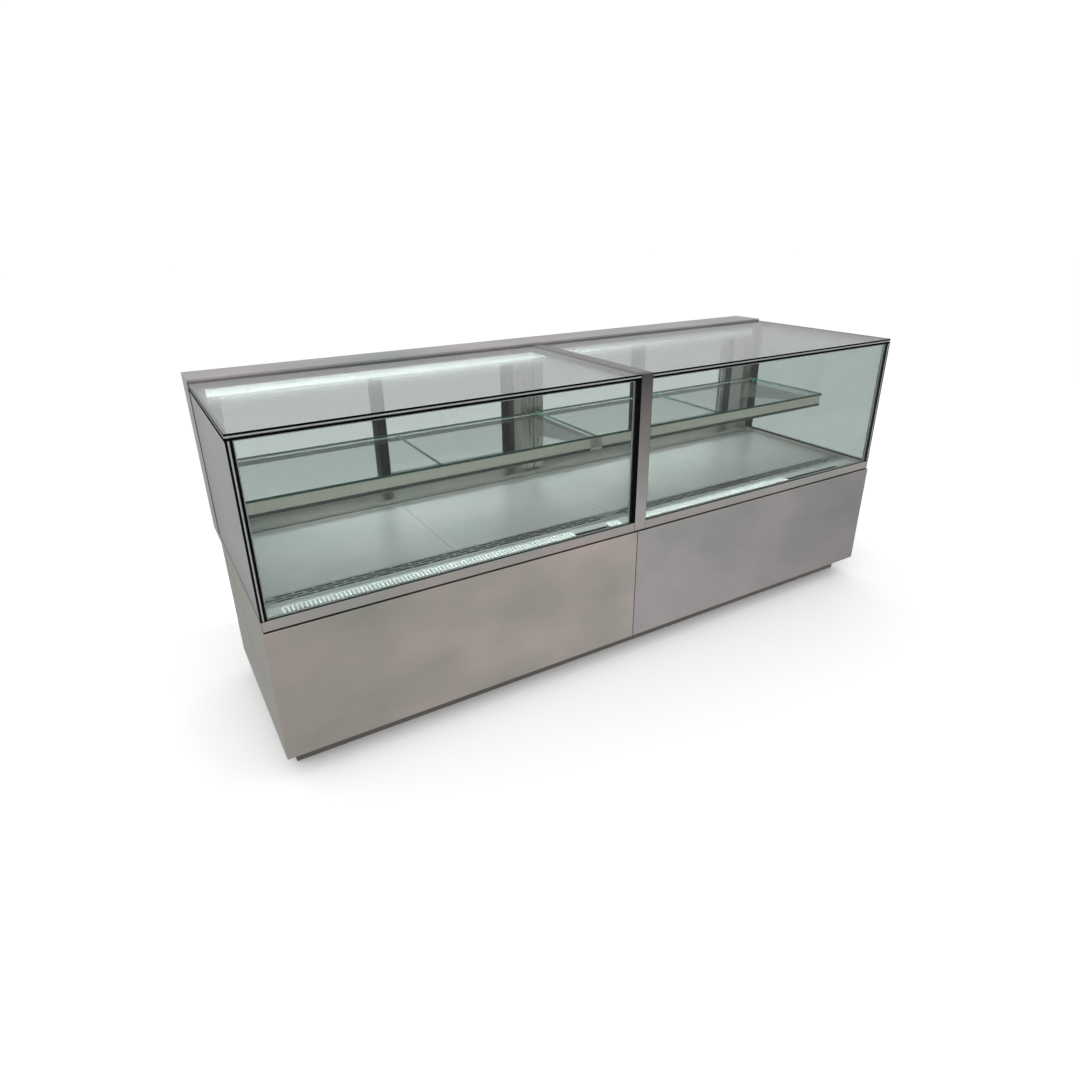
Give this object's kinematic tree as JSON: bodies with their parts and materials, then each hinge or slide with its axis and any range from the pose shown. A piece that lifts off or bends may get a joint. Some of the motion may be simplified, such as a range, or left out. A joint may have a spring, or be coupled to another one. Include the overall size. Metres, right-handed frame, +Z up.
{
  "type": "refrigerated bakery display case",
  "caption": "Long straight-glass refrigerated bakery display case: stainless base, insulated glass box, glass shelf, light bars and sliding staff-side doors.",
  "frame": {"origin": "on the floor, at the middle of the case's length and depth", "axes": "+X along the length to the customer's right, +Y from the customer's front glass to the staff side, +Z up"},
  "size_m": [2.438, 0.82, 1.021],
  "materials": {
    "black_plastic": "satin black",
    "coil": "mill finish fins",
    "compressor": "satin black",
    "copper": "bare copper",
    "fan_metal": "mill finish",
    "fan_plastic": "satin black",
    "foot": "zinc plated",
    "frame_aluminium": "satin anodised",
    "galvanised": "dull zinc",
    "glass_door": "clear, polished",
    "glass_shelf": "clear with a green edge",
    "glass_unit": "clear, polished, black ground edges",
    "lens": "opal, lit",
    "liner": "smooth foam-filled liner",
    "screw": "bright",
    "seal": "matt black silicone",
    "shelf_trim": "satin, with a pale ticket channel",
    "spacer": "matt mill finish",
    "stainless": "brushed, fine grain along the length",
    "stainless_dark": "brushed, duller",
    "switch_black": "gloss black rocker",
    "white_plastic": "satin white"
  },
  "bodies": {
    "case": {"air_grilles": "stainless", "base_frame": "galvanised", "center_front_post": "stainless", "center_top_rail": "stainless", "compressors": "compressor", "condensate_pans": "galvanised", "condenser_coils": "coil", "condenser_fan_shrouds": "galvanised", "control_panels": "black_plastic", "deck_pans": "stainless", "discharge_covers": "stainless", "discharge_honeycombs": "white_plastic", "door_jambs": "black_plastic", "door_tracks": "frame_aluminium", "end_glass": "glass_unit", "end_panels": "stainless", "evaporator_coils": "coil", "evaporator_fan_panels": "galvanised", "fan_motors": "black_plastic", "glass_seals": "seal", "glass_sills": "stainless", "glass_spacers": "spacer", "insulated_tanks": "liner", "led_strips": "white_plastic", "left_front_glass": "glass_unit", "left_front_panel": "stainless", "leveling_feet": "foot", "light_housings": "frame_aluminium", "light_lenses": "lens", "machine_floor_pans": "galvanised", "panel_screws": "screw", "power_inlets": "black_plastic", "rear_caps": "stainless", "rear_headers": "stainless_dark", "rear_ledges": "stainless", "rear_posts": "stainless", "rear_service_panels": "stainless_dark", "refrigerant_lines": "copper", "right_front_glass": "glass_unit", "right_front_panel": "stainless", "shelf_brackets": "stainless", "shelf_glass_panes": "glass_shelf", "shelf_rails": "shelf_trim", "shelf_standards": "stainless", "toe_kick_boards": "stainless_dark", "top_glass": "glass_unit"},
    "door_1": {"door_1_frame": "frame_aluminium", "door_1_glass": "glass_door"},
    "door_2": {"door_2_frame": "frame_aluminium", "door_2_glass": "glass_door"},
    "door_3": {"door_3_frame": "frame_aluminium", "door_3_glass": "glass_door"},
    "door_4": {"door_4_frame": "frame_aluminium", "door_4_glass": "glass_door"},
    "evaporator_fan_1": {"evaporator_fan_1": "fan_plastic"},
    "evaporator_fan_2": {"evaporator_fan_2": "fan_plastic"},
    "condenser_fan_1": {"condenser_fan_1": "fan_metal"},
    "condenser_fan_2": {"condenser_fan_2": "fan_metal"},
    "light_switch_1": {"light_switch_1": "switch_black"},
    "light_switch_2": {"light_switch_2": "switch_black"}
  },
  "joints": [
    {"name": "door_1_slide", "type": "slide", "parent": "case", "child": "door_1", "axis": [1, 0, 0], "range_m": [0, 0.531]},
    {"name": "door_2_slide", "type": "slide", "parent": "case", "child": "door_2", "axis": [1, 0, 0], "range_m": [-0.531, 0]},
    {"name": "door_3_slide", "type": "slide", "parent": "case", "child": "door_3", "axis": [1, 0, 0], "range_m": [0, 0.531]},
    {"name": "door_4_slide", "type": "slide", "parent": "case", "child": "door_4", "axis": [1, 0, 0], "range_m": [-0.531, 0]},
    {"name": "evaporator_fan_1_spin", "type": "hinge", "parent": "case", "child": "evaporator_fan_1", "pos_m": [-0.609, -0.063, 0.399], "axis": [0, 1, 0], "continuous": true},
    {"name": "condenser_fan_1_spin", "type": "hinge", "parent": "case", "child": "condenser_fan_1", "pos_m": [-0.819, 0.159, 0.177], "axis": [0, 1, 0], "continuous": true},
    {"name": "light_switch_1_rock", "type": "hinge", "parent": "case", "child": "light_switch_1", "pos_m": [-0.179, 0.263, 0.419], "axis": [1, 0, 0], "range_deg": [-8, 8]},
    {"name": "evaporator_fan_2_spin", "type": "hinge", "parent": "case", "child": "evaporator_fan_2", "pos_m": [0.61, -0.063, 0.399], "axis": [0, 1, 0], "continuous": true},
    {"name": "condenser_fan_2_spin", "type": "hinge", "parent": "case", "child": "condenser_fan_2", "pos_m": [0.4, 0.159, 0.177], "axis": [0, 1, 0], "continuous": true},
    {"name": "light_switch_2_rock", "type": "hinge", "parent": "case", "child": "light_switch_2", "pos_m": [1.04, 0.263, 0.419], "axis": [1, 0, 0], "range_deg": [-8, 8]}
  ]
}
